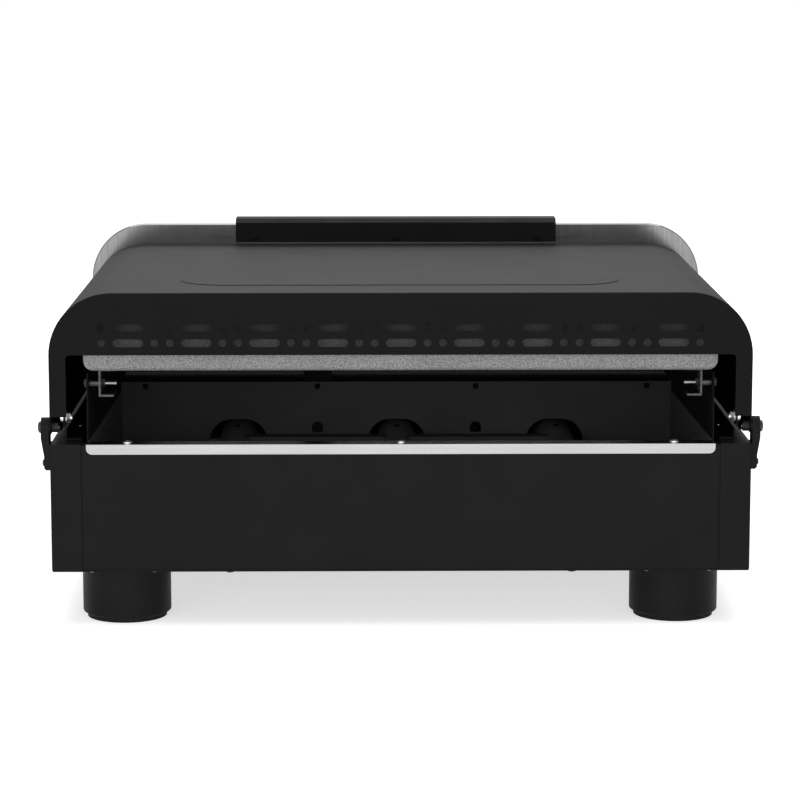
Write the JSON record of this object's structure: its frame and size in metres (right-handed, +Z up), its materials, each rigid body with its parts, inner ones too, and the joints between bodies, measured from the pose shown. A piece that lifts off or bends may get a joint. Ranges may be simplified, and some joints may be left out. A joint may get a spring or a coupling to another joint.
{
  "type": "gas griddle",
  "caption": "Tabletop gas griddle with a hinged rounded hood, steel griddle pan, tube burners, control knobs, pull-out grease tray and round feet.",
  "frame": {"origin": "middle of the overall box at table level", "axes": "+Z up, -Y towards the cook at the front, +X to the cook's right"},
  "size_m": [0.725, 0.5936, 0.3665],
  "materials": {
    "black_coat": "satin powder coat",
    "hood_coat": "satin high-temperature coat",
    "handle_coat": "matte powder coat",
    "stainless_trim": "fine brushed",
    "stainless_plate": "brushed upright",
    "zinc": "bright zinc plate",
    "black_oxide": "black oxide",
    "firebox_coat": "matte heat-proof coat",
    "firebox_texture": "textured heat-proof coat",
    "griddle_steel": "fine grained, light grey",
    "bracket_steel": "plain steel",
    "burner_steel": "plain steel, dulled by heat",
    "galvanised": "galvanised",
    "manifold_steel": "plain steel",
    "valve_metal": "die cast",
    "brass": "machined",
    "stem_steel": "bright",
    "knob_plastic": "matte",
    "foot_plastic": "fine texture",
    "rubber": "matte"
  },
  "bodies": {
    "chassis": {"bottom_panel": "black_coat", "bottom_screws": "black_oxide", "bracket_bolts": "zinc", "bracket_spacers": "black_oxide", "burner_center": "burner_steel", "burner_left": "burner_steel", "burner_rests": "firebox_coat", "burner_right": "burner_steel", "burner_screws": "black_oxide", "control_panel": "black_coat", "crossovers": "burner_steel", "deck_rail_left": "black_coat", "deck_rail_right": "black_coat", "feet": "foot_plastic", "firebox_liner": "firebox_texture", "firewall": "firebox_coat", "firewall_screws": "black_oxide", "foot_pads": "rubber", "foot_plates": "zinc", "foot_screws": "zinc", "gas_inlet": "brass", "gas_jets": "brass", "gas_manifold": "manifold_steel", "grease_chute": "firebox_coat", "griddle_brackets": "bracket_steel", "griddle_pan": "griddle_steel", "hinge_bracket_left": "black_coat", "hinge_bracket_right": "black_coat", "hinge_bushes": "black_oxide", "hinge_screws": "black_oxide", "hood_bumpers": "rubber", "knob_bezels": "stainless_trim", "manifold_brackets": "bracket_steel", "pivot_bolts": "black_oxide", "rail_screws": "zinc", "rear_panel": "black_coat", "rear_trim_strip": "stainless_trim", "side_panel_left": "black_coat", "side_panel_right": "black_coat", "support_plate_left": "firebox_coat", "support_plate_right": "firebox_coat", "tray_rails": "firebox_coat", "trim_screws": "zinc", "valve_center": "valve_metal", "valve_left": "valve_metal", "valve_right": "valve_metal"},
    "hood": {"hood_rear_panel": "hood_coat", "hood_shell": "hood_coat", "hood_front_plate": "stainless_plate", "hood_handle": "handle_coat", "handle_screws": "black_oxide", "hood_doublers": "hood_coat", "doubler_bolts": "zinc"},
    "grease_tray": {"grease_tray": "galvanised"},
    "knob_left": {"knob_left": "knob_plastic", "stem_left": "stem_steel"},
    "knob_center": {"knob_center": "knob_plastic", "stem_center": "stem_steel"},
    "knob_right": {"knob_right": "knob_plastic", "stem_right": "stem_steel"}
  },
  "joints": [
    {"name": "hood_hinge", "type": "hinge", "parent": "chassis", "child": "hood", "pos_m": [0, 0.28485, 0.2025], "axis": [-1, 0, 0], "range_deg": [0, 95]},
    {"name": "knob_left_turn", "type": "hinge", "parent": "chassis", "child": "knob_left", "pos_m": [-0.18, -0.28015, 0.119], "axis": [0, -1, 0], "range_deg": [0, 180]},
    {"name": "knob_center_turn", "type": "hinge", "parent": "chassis", "child": "knob_center", "pos_m": [0, -0.28015, 0.119], "axis": [0, -1, 0], "range_deg": [0, 180]},
    {"name": "knob_right_turn", "type": "hinge", "parent": "chassis", "child": "knob_right", "pos_m": [0.18, -0.28015, 0.119], "axis": [0, -1, 0], "range_deg": [0, 180]},
    {"name": "grease_tray_slide", "type": "slide", "parent": "chassis", "child": "grease_tray", "axis": [0, -1, 0], "range_m": [0, 0.19]}
  ]
}
